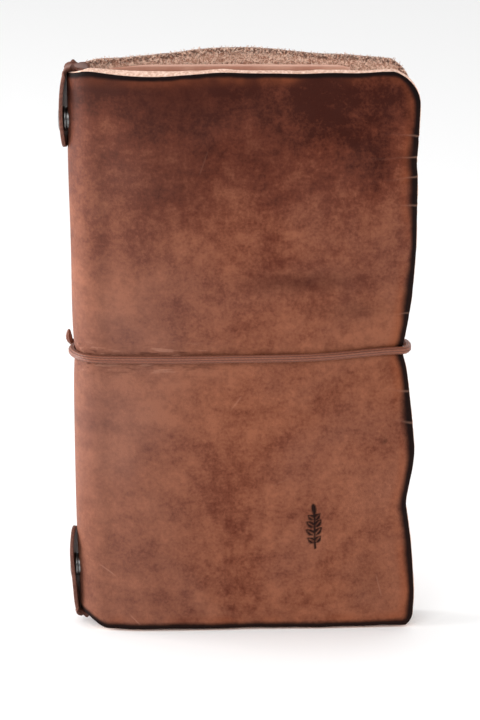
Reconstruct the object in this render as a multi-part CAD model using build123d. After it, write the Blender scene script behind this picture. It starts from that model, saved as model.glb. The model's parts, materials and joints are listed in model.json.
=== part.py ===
from build123d import *
import math
import os

# A folded leather notebook cover that stands closed: X across the covers, Y through them, Z up.
# The front cover faces -Y, the folded spine is on the -X side and the fore edge on the +X side.
# All sizes are in millimetres.

# driving dimensions
cover_height = 220.0
cover_length = 117.2          # from the spine fold to the fore edge
leather = 3.5                 # thickness of the hide
spine_radius = 12.5           # outer radius of the folded spine
fold_gap = 0.3                # between pieces on different bodies
fore_half = 8.5               # outer half thickness of the closed cover at the fore edge
front_bulge = 1.4             # how far each cover bows out from its chord
back_bulge = 4.0
back_extra = 2.5              # the back cover stands this much taller
spine_bottom = 3.2            # the spine's lower edge sits above the covers' lower edges
top_corner = 10.0
bottom_corner = 5.0

spine_x = -50.44              # centre of the spine's curve, set so that the whole stands on the origin
spine_y = -1.067

# inner pocket
pocket_leather = 1.4
pocket_width = 90.0
pocket_start = 3.0            # from the spine fold
pocket_low = 12.0
pocket_top = 218.0
stitch_pitch = 5.0
stitch_length = 3.4
stitch_width = 0.7
stitch_inset = 3.0            # from the pocket's edges to its seam
stitch_clear = 0.15           # off the pocket's sloping face

# retaining strap
strap_width = 14.0
strap_leather = 1.4
strap_gap = 1.7               # from the spine to a closed tab
strap_clear = 0.25            # over the spine's edges
tab_length = 30.0

# snap fasteners
snap_drop = 20.0              # from the fold of the strap to the snap
flange_radius = 4.2
flange_thick = 0.6
post_radius = 3.8
neck_radius = 1.8
bulb_radius = 2.2
bulb_high = 0.6
socket_radius = 4.6
socket_bore = 2.75
cap_radius = 5.0
cap_dome = 0.7
barrel_radius = 1.7
rivet_fit = 0.05              # round each rivet in its leather

# elastic closure
elastic_radius = 1.5
elastic_clear = 0.1
elastic_z = 108.0
elastic_turn = 22.0           # degrees of the spine's curve left free beside each fold
knot_radius = 3.0
knot_angle = 126.0            # where the knot sits round the spine, from +X towards +Y
tail_length = 9.0

os.makedirs("parts", exist_ok=True)


def save(shape, name):
    export_step(shape, f"parts/{name}.step")
    size = shape.bounding_box().size
    print(f"{name}: {size.X:.1f} x {size.Y:.1f} x {size.Z:.1f}")


def at_spine(shape):
    # pieces are drawn round the spine's centre and then put in place
    return Pos(spine_x, spine_y, 0) * shape


class Bow:
    # the shallow arc that a cover's outer face follows, drawn for the back cover (+Y)
    def __init__(self, bulge):
        start = (fold_gap, spine_radius)
        end = (cover_length, fore_half)
        run = end[0] - start[0]
        rise = end[1] - start[1]
        chord = math.hypot(run, rise)
        self.radius = (chord ** 2 / 4 + bulge ** 2) / (2 * bulge)
        slope = math.atan2(rise, run)
        down = self.radius - bulge
        self.cx = (start[0] + end[0]) / 2 + down * math.sin(slope)
        self.cy = (start[1] + end[1]) / 2 - down * math.cos(slope)

    def y(self, x, depth=0.0):
        # height of the face at x, taken depth under the outer face
        return self.cy + math.sqrt((self.radius - depth) ** 2 - (x - self.cx) ** 2)

    def slab(self, x0, x1, depth0, depth1, low, high):
        # a curved panel between two depths under the outer face
        outline = [(x0, depth0), (x1, depth0), (x1, depth1), (x0, depth1)]
        points = [(x, self.y(x, depth)) for x, depth in outline]
        middle = (x0 + x1) / 2
        with BuildPart() as panel:
            with BuildSketch(Plane.XY.offset(low)):
                with BuildLine():
                    ThreePointArc(points[0], (middle, self.y(middle, depth0)), points[1])
                    Line(points[1], points[2])
                    ThreePointArc(points[2], (middle, self.y(middle, depth1)), points[3])
                    Line(points[3], points[0])
                make_face()
            extrude(amount=high - low)
        return panel.part


front_bow = Bow(front_bulge)
back_bow = Bow(back_bulge)


def to_front(shape):
    return mirror(shape, Plane.XZ)


def cover(bow, height):
    # one half of the hide, with its two free corners rounded
    panel = bow.slab(fold_gap, cover_length, 0, leather, 0, height)
    edges = panel.edges().filter_by(Axis.Y, tolerance=1.0)
    fore = edges.filter_by(lambda edge: edge.center().X > cover_length / 2)
    low, high = fore.sort_by(Axis.Z)
    panel = fillet(high, top_corner)
    edges = panel.edges().filter_by(lambda edge: edge.center().Z < 0.1 and edge.center().X > cover_length - 1)
    return fillet(edges.sort_by(Axis.X)[-1], bottom_corner)


def half_ring(outer, inner, low, high):
    # the -X half of a tube round the spine's centre
    ring = Cylinder(outer, high - low) - Cylinder(inner, high - low)
    ring = Pos(0, 0, (low + high) / 2) * ring
    block = Pos(-outer, 0, (low + high) / 2) * Box(2 * outer, 2 * outer + 2, high - low + 2)
    return ring & block


def disc(radius, x_from, x_to, z):
    # a round piece on an axis along X
    length = abs(x_to - x_from)
    return Pos((x_from + x_to) / 2, 0, z) * Rot(0, 90, 0) * Cylinder(radius, length)


# places along X, measured from the spine's centre
apex = -spine_radius
inner_wall = apex + leather
tab_inner = apex - strap_gap
tab_outer = tab_inner - strap_leather
run_outer = -math.sqrt((spine_radius - leather) ** 2 - (strap_width / 2) ** 2) + 0.1
run_inner = run_outer + strap_leather
seat = apex + flange_thick    # the stud's flange is let into the spine, flush with it

fold_top = cover_height + strap_clear
fold_bottom = spine_bottom - strap_clear
snap_heights = {"top": fold_top - snap_drop, "bottom": fold_bottom + snap_drop}


def spine_leather():
    hide = half_ring(spine_radius, spine_radius - leather, spine_bottom, cover_height)
    for z in snap_heights.values():
        hide -= disc(flange_radius + rivet_fit, apex - 1, seat, z)
        hide -= disc(barrel_radius + rivet_fit, apex - 1, inner_wall + 1, z)
        hide -= disc(post_radius + rivet_fit, inner_wall, inner_wall + 2, z)
    return hide


def strap_run():
    # the length inside the spine, and the two turns over the spine's edges
    low = fold_bottom - strap_leather
    high = fold_top + strap_leather
    run = Box(strap_leather, strap_width, high - low)
    run = Pos((run_outer + run_inner) / 2, 0, (low + high) / 2) * run
    for z in (low + strap_leather / 2, high - strap_leather / 2):
        length = run_inner - tab_outer
        turn = Box(length, strap_width, strap_leather)
        run += Pos((run_inner + tab_outer) / 2, 0, z) * turn
    corners = run.edges().filter_by(Axis.Y)
    outer = [e for e in corners if min(e.center().Z - low, high - e.center().Z) < 0.01]
    outer = [e for e in outer if e.center().X > run_inner - 0.01]
    return fillet(outer, strap_leather * 0.8)


def strap_tab(end):
    # the outer tongue with a round tip, drawn at the top and turned over for the bottom
    radius = strap_width / 2
    start = fold_top - fold_gap if end == "top" else fold_bottom + fold_gap
    way = -1 if end == "top" else 1
    straight = tab_length - radius
    tongue = Box(strap_leather, strap_width, straight)
    tongue = Pos((tab_inner + tab_outer) / 2, 0, start + way * straight / 2) * tongue
    tongue += disc(radius, tab_outer, tab_inner, start + way * straight)
    return tongue - disc(barrel_radius + rivet_fit, tab_outer - 1, tab_inner + 1, snap_heights[end])


def snap_stud(z):
    # flange let into the spine, neck and bulb standing out of it
    post_end = tab_inner + 0.15
    stud = disc(flange_radius, apex, seat - rivet_fit, z)
    stud += disc(neck_radius, post_end, apex + 0.1, z)
    return stud + disc(bulb_radius, post_end, post_end + bulb_high, z)


def snap_post(z):
    # the rivet through the spine, with its head inside
    post = disc(barrel_radius, seat, inner_wall + 0.2, z)
    return post + disc(post_radius, inner_wall + 0.02, inner_wall + 0.7, z)


def snap_socket(z):
    ring = disc(socket_radius, tab_inner + 0.02, apex - 0.25, z)
    return ring - disc(socket_bore, tab_inner - 1, apex + 1, z)


def snap_cap(z):
    # a low domed cap outside the tab and its barrel through the leather
    sphere_radius = (cap_radius ** 2 + cap_dome ** 2) / (2 * cap_dome)
    dome = Pos(tab_outer + sphere_radius - cap_dome - 0.02, 0, z) * Sphere(sphere_radius)
    cut = disc(cap_radius + 3, tab_outer - 0.02, tab_outer - 5, z)
    return (dome & cut) + disc(barrel_radius, tab_outer - 0.1, tab_inner - 0.02, z)


def pocket():
    return back_bow.slab(pocket_start, pocket_start + pocket_width,
                         leather + 0.03, leather + pocket_leather, pocket_low, pocket_top)


def pocket_seam():
    # thread down both sides and along the bottom of the pocket, on its inner face
    depth = leather + pocket_leather + stitch_width / 2 + stitch_clear
    left = pocket_start + stitch_inset
    right = pocket_start + pocket_width - stitch_inset
    bars = []
    rows = int((pocket_top - pocket_low - 2 * stitch_inset) / stitch_pitch)
    for row in range(rows):
        z = pocket_low + stitch_inset + (row + 0.5) * stitch_pitch
        for x in (left, right):
            bar = Box(stitch_width, stitch_width, stitch_length)
            bars.append(at_spine(Pos(x, back_bow.y(x, depth), z) * bar))
    columns = int((right - left) / stitch_pitch)
    for column in range(1, columns):
        x = left + column * stitch_pitch
        bar = Box(stitch_length, stitch_width, stitch_width)
        bars.append(at_spine(Pos(x, back_bow.y(x, depth + stitch_clear), pocket_low + stitch_inset) * bar))
    return Compound(children=bars)


def elastic_half(bow):
    # along a cover's outer face and half way round its fore edge
    out = -(elastic_radius + elastic_clear)
    turn = elastic_radius + elastic_clear
    edge = cover_length
    outer_y = bow.y(edge, out)
    middle = edge / 2
    path_start = (fold_gap, bow.y(fold_gap, out))
    with BuildPart() as tube:
        with BuildLine(Plane.XY.offset(elastic_z)) as path:
            first = ThreePointArc(path_start, (middle, bow.y(middle, out)), (edge, outer_y))
            second = TangentArc(first @ 1, (edge + turn, outer_y - turn * 1.2), tangent=first % 1)
            Line(second @ 1, (edge + turn, fold_gap / 2))
        with BuildSketch(Plane(origin=path.line @ 0, z_dir=path.line % 0)):
            Circle(elastic_radius)
        sweep(transition=Transition.ROUND)
    return tube.part


def elastic_spine():
    # round the outside of the spine between the two folds
    ring = Torus(spine_radius + elastic_radius + elastic_clear, elastic_radius)
    ring = Pos(0, 0, elastic_z) * ring
    reach = spine_radius + 4 * elastic_radius
    cut = (spine_radius + elastic_radius) * math.sin(math.radians(elastic_turn))
    return ring & (Pos(-cut - reach, 0, elastic_z) * Box(2 * reach, 4 * reach, 8 * elastic_radius))


def elastic_knot():
    # the tied ends beside the spine, with one pointed tail standing up
    reach = spine_radius + 2 * elastic_radius + elastic_clear + 0.6 * knot_radius
    x = reach * math.cos(math.radians(knot_angle))
    y = reach * math.sin(math.radians(knot_angle))
    knot = Pos(x, y, elastic_z) * Sphere(knot_radius)
    tail = Pos(x, y, elastic_z + tail_length / 2) * Cone(elastic_radius, 0.4, tail_length)
    band = Pos(0, 0, elastic_z) * Torus(spine_radius + elastic_radius + elastic_clear, elastic_radius + 0.02)
    return knot + tail - band


save(at_spine(to_front(cover(front_bow, cover_height))), "front_cover")
save(at_spine(cover(back_bow, cover_height + back_extra)), "back_cover")
save(at_spine(spine_leather()), "spine_leather")
save(at_spine(pocket()), "inner_pocket")
save(pocket_seam(), "pocket_thread")
save(at_spine(strap_run()), "strap_inner_run")
for end, z in snap_heights.items():
    save(at_spine(strap_tab(end)), f"strap_{end}_tab")
    save(at_spine(snap_cap(z)), f"{end}_snap_cap")
    save(at_spine(snap_socket(z)), f"{end}_snap_socket")
    save(at_spine(snap_stud(z)), f"{end}_snap_stud")
    save(at_spine(snap_post(z)), f"{end}_snap_post")
save(at_spine(to_front(elastic_half(front_bow))), "elastic_front_run")
save(at_spine(elastic_half(back_bow)), "elastic_back_run")
save(at_spine(elastic_spine()), "elastic_spine_run")
save(at_spine(elastic_knot()), "elastic_knot")
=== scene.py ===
import json
import math

import bpy
import numpy as np
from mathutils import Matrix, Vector


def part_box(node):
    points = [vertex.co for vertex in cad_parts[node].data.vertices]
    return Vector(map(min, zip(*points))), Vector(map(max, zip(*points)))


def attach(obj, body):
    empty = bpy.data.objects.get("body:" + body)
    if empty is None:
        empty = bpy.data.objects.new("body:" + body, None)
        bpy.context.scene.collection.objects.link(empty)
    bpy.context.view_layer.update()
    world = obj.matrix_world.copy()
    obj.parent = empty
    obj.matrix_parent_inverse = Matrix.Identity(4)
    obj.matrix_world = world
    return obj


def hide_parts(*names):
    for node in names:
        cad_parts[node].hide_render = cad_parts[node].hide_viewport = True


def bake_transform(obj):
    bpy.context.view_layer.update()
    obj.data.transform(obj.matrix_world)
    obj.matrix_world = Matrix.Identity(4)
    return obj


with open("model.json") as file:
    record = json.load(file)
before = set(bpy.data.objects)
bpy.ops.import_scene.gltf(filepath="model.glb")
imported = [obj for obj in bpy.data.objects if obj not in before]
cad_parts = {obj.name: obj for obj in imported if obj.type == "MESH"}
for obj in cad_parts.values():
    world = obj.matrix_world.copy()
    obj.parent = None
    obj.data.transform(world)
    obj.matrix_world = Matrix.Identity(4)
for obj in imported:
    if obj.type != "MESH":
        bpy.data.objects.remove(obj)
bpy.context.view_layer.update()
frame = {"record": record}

mm = 0.001

# Places come from the frame. Shapes are worked out in millimetres round the spine's centre:
# x from the fold towards the fore edge, y towards the back cover, z up.
joints = {j["name"]: j for j in frame["record"]["behaviour"]["joints"]}
frontFold = Vector(joints["front_cover_fold"]["pos_m"])
backFold = Vector(joints["back_cover_fold"]["pos_m"])
foldX = frontFold.x
midY = (frontFold.y + backFold.y) / 2
spineR = (backFold.y - frontFold.y) / 2 / mm
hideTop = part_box("front_cover")[1].z / mm
coverLength = (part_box("front_cover")[1].x - foldX) / mm
bandZ = (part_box("elastic_front_run")[0].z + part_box("elastic_front_run")[1].z) / 2 / mm + 1.6


def toFrame(points):
    points = np.asarray(points, float) * mm
    return points + np.array([foldX, midY, 0.0])


def smooth(t):
    t = np.clip(t, 0, 1)
    return t * t * (3 - 2 * t)


def bump(x, centre, width):
    return np.exp(-((x - centre) / width) ** 2)


def softLine(points, at, reach):
    # a line through a few points with its corners rounded off
    places, values = zip(*points)
    steps = np.linspace(-reach, reach, 9)
    return sum(np.interp(at + step, places, values) for step in steps) / 9


def ripple(a, b, seed, size, count=9):
    # gentle seeded unevenness with features about as long as size
    rng = np.random.default_rng(seed)
    total = 0
    for _ in range(count):
        turn = rng.uniform(0, math.tau)
        length = size * rng.uniform(0.6, 1.7)
        phase = rng.uniform(0, math.tau)
        total = total + np.sin((a * math.cos(turn) + b * math.sin(turn)) * math.tau / length + phase)
    return total / count ** 0.5


# shader helpers

class Wire:
    # a socket that can be used in sums
    def __init__(self, web, socket):
        self.web = web
        self.socket = socket

    def maths(self, operation, *others, clamp=False):
        return self.web.node("ShaderNodeMath", {"operation": operation, "use_clamp": clamp},
                             dict(enumerate((self,) + others)))

    def __add__(self, other):
        return self.maths("ADD", other)

    def __sub__(self, other):
        return self.maths("SUBTRACT", other)

    def __mul__(self, other):
        return self.maths("MULTIPLY", other)

    def __rsub__(self, other):
        return self.web.node("ShaderNodeMath", {"operation": "SUBTRACT"}, {0: other, 1: self})

    __radd__ = __add__
    __rmul__ = __mul__

    def band(self, low, high):
        # 0 below low, 1 above high
        return self.web.node("ShaderNodeMapRange", {"interpolation_type": "SMOOTHSTEP"},
                             {"Value": self, "From Min": low, "From Max": high})


class Web:
    # one material and its nodes
    def __init__(self, name):
        self.material = bpy.data.materials.new(name)
        self.material.use_nodes = True
        self.tree = self.material.node_tree
        self.shader = self.tree.nodes["Principled BSDF"]
        self.place = self.node("ShaderNodeTexCoord", {}, {}, "Object")

    def node(self, kind, settings, sockets, out=0):
        made = self.tree.nodes.new(kind)
        for key, value in settings.items():
            if key == "stops":
                ramp = made.color_ramp
                while len(ramp.elements) < len(value):
                    ramp.elements.new(0.5)
                for element, (spot, shade) in zip(ramp.elements, value):
                    element.position = spot
                    element.color = (*shade, 1)
            else:
                setattr(made, key, value)
        for key, value in sockets.items():
            if isinstance(value, Wire):
                self.tree.links.new(value.socket, made.inputs[key])
            else:
                made.inputs[key].default_value = value
        return Wire(self, made.outputs[out])

    def noise(self, scale, detail=4.0, rough=0.55, where=None, warp=0.0):
        return self.node("ShaderNodeTexNoise", {}, {"Vector": where or self.place, "Scale": scale,
                         "Detail": detail, "Roughness": rough, "Distortion": warp})

    def cells(self, scale, feature="DISTANCE_TO_EDGE", where=None):
        return self.node("ShaderNodeTexVoronoi", {"feature": feature},
                         {"Vector": where or self.place, "Scale": scale}, "Distance")

    def stretched(self, factors):
        return self.node("ShaderNodeVectorMath", {"operation": "MULTIPLY"}, {0: self.place, 1: factors})

    def mask(self, name):
        return self.node("ShaderNodeAttribute", {"attribute_name": name}, {}, "Fac")

    def mix(self, factor, first, second):
        made = self.tree.nodes.new("ShaderNodeMix")
        made.data_type = "RGBA"
        for key, value in (("Factor_Float", factor), ("A_Color", first), ("B_Color", second)):
            socket = next(s for s in made.inputs if s.identifier == key)
            if isinstance(value, Wire):
                self.tree.links.new(value.socket, socket)
            else:
                socket.default_value = value if isinstance(value, (int, float)) else (*value, 1)
        return Wire(self, next(s for s in made.outputs if s.identifier == "Result_Color"))

    def set(self, **sockets):
        for key, value in sockets.items():
            socket = self.shader.inputs[key.replace("_", " ")]
            if isinstance(value, Wire):
                self.tree.links.new(value.socket, socket)
            else:
                socket.default_value = value

    def relief(self, height, strength, distance):
        self.set(Normal=self.node("ShaderNodeBump", {}, {"Height": height, "Strength": strength,
                                                          "Distance": distance}))


# materials

hideLook = {
    "deep": (0.036, 0.0058, 0.0026), "brown": (0.112, 0.027, 0.0135), "tan": (0.268, 0.094, 0.050),
    "burnt": (0.0040, 0.0018, 0.0018), "glow": (0.24, 0.062, 0.024), "pale": (0.52, 0.27, 0.19),
    # pale veil colour: wax bloom, and painted sheen of the lamps
    "bloomAndSheen": (0.24, 0.128, 0.102),
    # scratches on the front: across and up in millimetres, direction in degrees, half length, strength
    "scratches": [(-0.5, 24.8, -37, 4.6, 0.22), (9.8, 4.6, -47, 3.4, 0.2), (49.5, 92, 52, 4.0, 0.14),
                  (103.5, 17, -76, 5.5, 0.14), (38, 186, 70, 6.0, 0.05), (66, 60, 25, 5.0, 0.05)],
}


def grainLeather():
    web = Web("waxedHide")
    look = hideLook
    # the rest position, so that the colouring stays on the hide when a cover turns
    height = web.node("ShaderNodeSeparateXYZ", {}, {0: web.place}, "Z")
    across = web.mask("restX") * mm + foldX
    depth = web.mask("restY") * mm + midY
    web.place = web.node("ShaderNodeCombineXYZ", {}, {0: across, 1: depth, 2: height})
    patches = web.noise(22, 3, 0.6, warp=0.6)
    clouds = web.noise(62, 5, 0.62)
    streaks = web.noise(30, 4, 0.6, web.stretched((1.0, 1.0, 5.0)))
    mottle = web.noise(260, 4, 0.65)
    fine = web.noise(900, 3, 0.6)
    # lighter towards the foot: painted sheen of the lamps on the waxed hide
    lower = 1 - height.band(0.110, 0.222)
    tone = patches * 0.26 + clouds * 0.25 + streaks * 0.12 + mottle * 0.22 + fine * 0.15
    head = height.band(0.192, 0.219)
    shade = tone * 3.5 - 1.52 + lower * 0.46 - head * 0.22
    colour = web.node("ShaderNodeValToRGB",
                      {"stops": [(0.0, look["deep"]), (0.38, look["brown"]), (0.92, look["tan"])]},
                      {0: shade}, "Color")
    # pale veil: wax bloom in random patches, plus painted sheen of the lamps, strongest towards the spine and
    # the foot
    bloom = web.noise(17, 3, 0.55, warp=0.4)
    paintedSheenSpineward = 1 - across.band(foldX, foldX + 0.055)
    colour = web.mix((bloom.band(0.40, 0.70) * 0.14 + paintedSheenSpineward * 0.24) * (0.35 + lower * 0.65), colour,
                     look["bloomAndSheen"])
    # fine wrinkles beside the elastic, with painted shade in their folds and a painted highlight on their
    # ridges
    wrinkleShadeAndHighlight = web.noise(520, 2, 0.5, web.stretched((0.22, 1.0, 1.3)))
    fromBand = (height - bandZ * mm).maths("ABSOLUTE")
    pressed = (1 - fromBand.band(0.0015, 0.009)) * (1 - across.band(-0.030, 0.005))
    colour = web.mix(pressed * wrinkleShadeAndHighlight.band(0.56, 0.66) * 0.5, colour, look["deep"])
    colour = web.mix(pressed * (1 - wrinkleShadeAndHighlight.band(0.32, 0.42)) * 0.3, colour, look["pale"])
    rim = web.mask("rim")            # millimetres to the nearest cut edge
    burnish = web.mask("burnish")    # millimetres that the burnished edge is wide
    ragged = rim + (clouds - 0.5) * 0.9 + (mottle - 0.5) * 0.5
    glow = (1 - (ragged - burnish).band(0.2, 4.6)) * patches.band(0.40, 0.62)
    colour = web.mix(glow * 0.55, colour, look["glow"])
    worn = web.mask("smudge") * (0.35 + clouds)
    colour = web.mix(worn * 0.8, colour, look["deep"])
    burnt = 1 - ragged.maths("DIVIDE", burnish).band(0.3, 1.55)
    colour = web.mix(burnt * 0.97, colour, look["burnt"])
    # pale line along each crease: a painted highlight on the fold
    colour = web.mix(web.mask("crease") * 0.38, colour, look["pale"])
    front = 1 - depth.band(-0.004, -0.002)
    for x, z, turn, reach, strength in look["scratches"]:
        cos, sin = math.cos(math.radians(turn)), math.sin(math.radians(turn))
        u = across - (foldX + x * mm)
        v = height - z * mm
        along = (u * cos + v * sin).maths("ABSOLUTE")
        beside = (v * cos - u * sin + (mottle - 0.5) * 0.0006).maths("ABSOLUTE")
        mark = (1 - beside.band(0.00012, 0.00042)) * (1 - along.band(reach * 0.4 * mm, reach * mm)) * front
        colour = web.mix(mark * strength, colour, look["pale"])
    colour = web.mix(web.mask("stamp") * 0.92, colour, look["burnt"])
    pores = web.cells(1500)
    grain = web.cells(820, "F1")
    web.set(Base_Color=colour, IOR=1.45, Specular_IOR_Level=0.06, Coat_Roughness=0.30, Coat_Weight=0.03,
            Roughness=0.50 + (mottle - 0.5) * 0.22 + burnt * 0.15)
    web.relief(grain * 0.5 + pores.band(0.0, 0.22) * 0.35 + mottle * 0.75 + streaks * 0.5, 0.42, 0.00022)
    return web.material


def cutEdge():
    web = Web("cutEdge")
    fibre = web.noise(900, 4, 0.7)
    strands = web.noise(420, 4, 0.7, web.stretched((1.0, 1.0, 3.0)))
    colour = web.mix(fibre.band(0.35, 0.7), (0.62, 0.37, 0.27), (0.95, 0.70, 0.58))
    colour = web.mix(strands.band(0.60, 0.76) * 0.5, colour, (0.26, 0.12, 0.07))
    web.set(Base_Color=colour, Roughness=0.85, Specular_IOR_Level=0.25)
    web.relief(fibre + strands, 0.6, 0.0003)
    return web.material


def fleshSide():
    web = Web("fleshSide")
    fuzz = web.noise(860, 5, 0.75, warp=0.8)
    clumps = web.noise(240, 4, 0.7, warp=0.5)
    specks = web.noise(1250, 3, 0.7)
    colour = web.mix(fuzz.band(0.40, 0.62), (0.46, 0.215, 0.135), (0.99, 0.72, 0.57))
    colour = web.mix(clumps.band(0.50, 0.72) * 0.30, colour, (0.72, 0.40, 0.30))
    colour = web.mix(specks.band(0.56, 0.64) * 0.72, colour, (0.13, 0.052, 0.032))
    fringe = (1 - web.mask("rim").band(0.4, 2.2)) * specks.band(0.42, 0.56)
    colour = web.mix(fringe * 0.85, colour, (0.085, 0.033, 0.02))
    web.set(Base_Color=colour, Roughness=0.95, Specular_IOR_Level=0.15, Sheen_Weight=0.15,
            Sheen_Roughness=0.6)
    web.relief(fuzz * 1.2 + specks, 0.9, 0.0006)
    return web.material


def fibreLook(name, dark, light):
    web = Web(name)
    vary = web.noise(900, 2, 0.6)
    web.set(Base_Color=web.mix(vary.band(0.35, 0.65), dark, light), Roughness=0.9, Specular_IOR_Level=0.2)
    return web.material


def pocketLook():
    web = Web("pocketLeather")
    cloud = web.noise(70, 4, 0.6)
    fine = web.noise(700, 3, 0.6)
    colour = web.mix(cloud.band(0.3, 0.7), (0.50, 0.225, 0.15), (0.66, 0.36, 0.26))
    edge = 1 - web.mask("rim").band(0.2, 1.0)
    # darker in from the rim: painted shadow of the narrow gap between the covers
    colour = web.mix(web.mask("rim").band(1.2, 3.4) * 0.75, colour, (0.27, 0.085, 0.052))
    colour = web.mix(edge * 0.6, colour, (0.86, 0.56, 0.45))
    web.set(Base_Color=colour, Roughness=0.55 + (fine - 0.5) * 0.2, Specular_IOR_Level=0.4)
    web.relief(web.cells(1300, "F1") + fine * 0.6, 0.3, 0.00012)
    return web.material


def strapLook():
    web = Web("strapLeather")
    cloud = web.noise(120, 4, 0.6)
    fine = web.noise(800, 3, 0.65)
    colour = web.mix(cloud.band(0.3, 0.7), (0.085, 0.027, 0.016), (0.185, 0.072, 0.048))
    edge = 1 - web.mask("rim").band(0.15, 0.9)
    colour = web.mix(edge * 0.65, colour, (0.045, 0.015, 0.010))
    web.set(Base_Color=colour, Roughness=0.52 + (fine - 0.5) * 0.2, Specular_IOR_Level=0.4)
    web.relief(web.cells(1200, "F1") + fine * 0.7, 0.35, 0.00014)
    return web.material


def strapEdgeLook():
    web = Web("strapEdge")
    fine = web.noise(900, 3, 0.65)
    colour = web.mix(fine.band(0.35, 0.65), (0.095, 0.034, 0.022), (0.17, 0.066, 0.045))
    web.set(Base_Color=colour, Roughness=0.7, Specular_IOR_Level=0.3)
    web.relief(fine, 0.4, 0.00012)
    return web.material


def snapLook():
    web = Web("snapMetal")
    brushed = web.noise(1400, 3, 0.6, web.stretched((1.0, 1.0, 0.12)))
    tarnish = web.noise(260, 4, 0.6)
    colour = web.mix(tarnish.band(0.4, 0.75) * 0.6, (0.20, 0.20, 0.20), (0.10, 0.09, 0.08))
    web.set(Base_Color=colour, Metallic=1.0, Roughness=0.24 + brushed * 0.16 + tarnish.band(0.5, 0.8) * 0.15)
    web.relief(brushed, 0.15, 0.00005)
    return web.material


def threadLook():
    web = Web("waxedThread")
    twist = web.noise(1500, 2, 0.5, web.stretched((1.0, 1.0, 0.4)))
    web.set(Base_Color=web.mix(twist.band(0.35, 0.65), (0.50, 0.38, 0.25), (0.76, 0.66, 0.50)),
            Roughness=0.6, Specular_IOR_Level=0.35)
    web.relief(twist, 0.4, 0.0001)
    return web.material


def elasticLook():
    web = Web("wovenElastic")
    weave = web.mask("weave")        # 1 on the crests of the braid
    fuzz = web.noise(1100, 3, 0.6)
    # darker in the braid's grooves than on its crests: painted shade
    colour = web.mix(weave, (0.075, 0.018, 0.008), (0.235, 0.070, 0.034))
    colour = web.mix(fuzz.band(0.45, 0.75) * 0.15, colour, (0.36, 0.14, 0.09))
    web.set(Base_Color=colour, Roughness=0.42, Specular_IOR_Level=0.45, Sheen_Weight=0.05,
            Sheen_Roughness=0.5)
    web.relief(fuzz + weave * 0.6, 0.35, 0.0001)
    return web.material


def floorLook():
    web = Web("paleFloor")
    web.set(Base_Color=(0.97, 0.97, 0.97, 1), Roughness=0.9, Specular_IOR_Level=0.1)
    return web.material


looks = {
    "grain": grainLeather(), "cut": cutEdge(), "flesh": fleshSide(), "pocket": pocketLook(),
    "strap": strapLook(), "strapEdge": strapEdgeLook(), "metal": snapLook(), "thread": threadLook(),
    "elastic": elasticLook(),
    "fibre": fibreLook("fleshFibre", (0.36, 0.165, 0.105), (0.99, 0.78, 0.65)),
}
print("materials made")


# mesh helpers

def newPiece(name, points, faces, materials, marks=None, ids=None):
    mesh = bpy.data.meshes.new(name)
    mesh.from_pydata(toFrame(points).tolist(), [], faces)
    for material in materials:
        mesh.materials.append(looks[material])
    if ids is not None:
        mesh.polygons.foreach_set("material_index", ids)
    mesh.polygons.foreach_set("use_smooth", [True] * len(mesh.polygons))
    for key, values in (marks or {}).items():
        layer = mesh.attributes.new(key, "FLOAT", "POINT")
        layer.data.foreach_set("value", np.asarray(values, np.float32))
    mesh.validate()
    mesh.update()
    piece = bpy.data.objects.new(name, mesh)
    bpy.context.scene.collection.objects.link(piece)
    return piece


def unit(vectors):
    return vectors / np.maximum(np.linalg.norm(vectors, axis=-1, keepdims=True), 1e-9)


def gridNormals(points):
    across = np.gradient(points, axis=0)
    up = np.gradient(points, axis=1)
    return unit(np.cross(across, up))


def gridFaces(offset, columns, rows, flip):
    c, r = np.meshgrid(np.arange(columns - 1), np.arange(rows - 1), indexing="ij")
    a = offset + c * rows + r
    quads = np.stack([a, a + rows, a + rows + 1, a + 1], -1).reshape(-1, 4)
    return (quads[:, ::-1] if flip else quads).tolist()


# rings of points round a panel's cut edge: how far out and down in shares of its rounding, how far down in
# shares of the thickness, and the material (0 outer face, 1 cut edge)
thickRim = [(0.5, 0.13, 0, 0), (0.87, 0.5, 0, 0), (1.0, 1.0, 0.04, 1), (1.0, 1.0, 0.3, 1),
            (1.02, 1.0, 0.5, 1), (1.0, 1.0, 0.75, 1), (0.87, -0.5, 1, 1), (0.5, -0.13, 1, 1)]
thinRim = [(0.5, 0.13, 0, 1), (0.87, 0.5, 0, 1), (1.0, 1.0, 0.3, 1), (1.0, 1.0, 0.7, 1),
           (0.87, -0.5, 1, 1), (0.5, -0.13, 1, 1)]


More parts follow.
